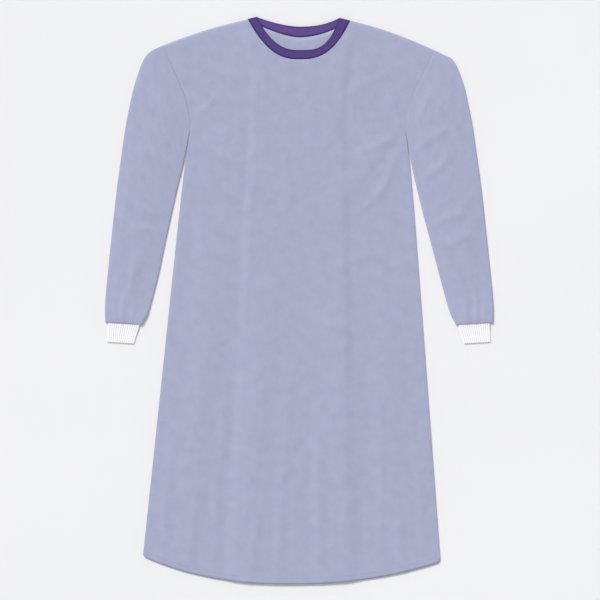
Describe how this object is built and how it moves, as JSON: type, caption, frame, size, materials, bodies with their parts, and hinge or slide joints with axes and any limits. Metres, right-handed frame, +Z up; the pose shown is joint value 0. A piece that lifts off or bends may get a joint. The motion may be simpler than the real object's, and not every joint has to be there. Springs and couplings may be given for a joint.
{
  "type": "surgical gown laid flat",
  "caption": "Long-sleeved surgical gown laid flat with its front up: A-line body, wrap-over back, bound round neck and knitted cuffs.",
  "frame": {"origin": "centre of the laid-out gown on the surface that it rests on, midway between neck and hem and between the sleeves", "axes": "+Y runs up the gown from hem to neck, +X to the viewer's right with the front up (the wearer's left), +Z up off the surface"},
  "size_m": [0.8538, 1.2464, 0.0074],
  "materials": {
    "gown_cloth": "matt periwinkle nonwoven cloth",
    "neck_binding": "folded purple bias tape, slight sheen",
    "cuff_knit": "matt white rib knit"
  },
  "bodies": {
    "root": {"front": "gown_cloth", "back_left_outer": "gown_cloth", "back_right_inner": "gown_cloth", "sleeve_left": "gown_cloth", "sleeve_right": "gown_cloth", "neck_binding_front": "neck_binding", "neck_binding_back_inner": "neck_binding", "neck_binding_back_outer": "neck_binding", "cuff_left": "cuff_knit", "cuff_right": "cuff_knit"}
  },
  "joints": []
}
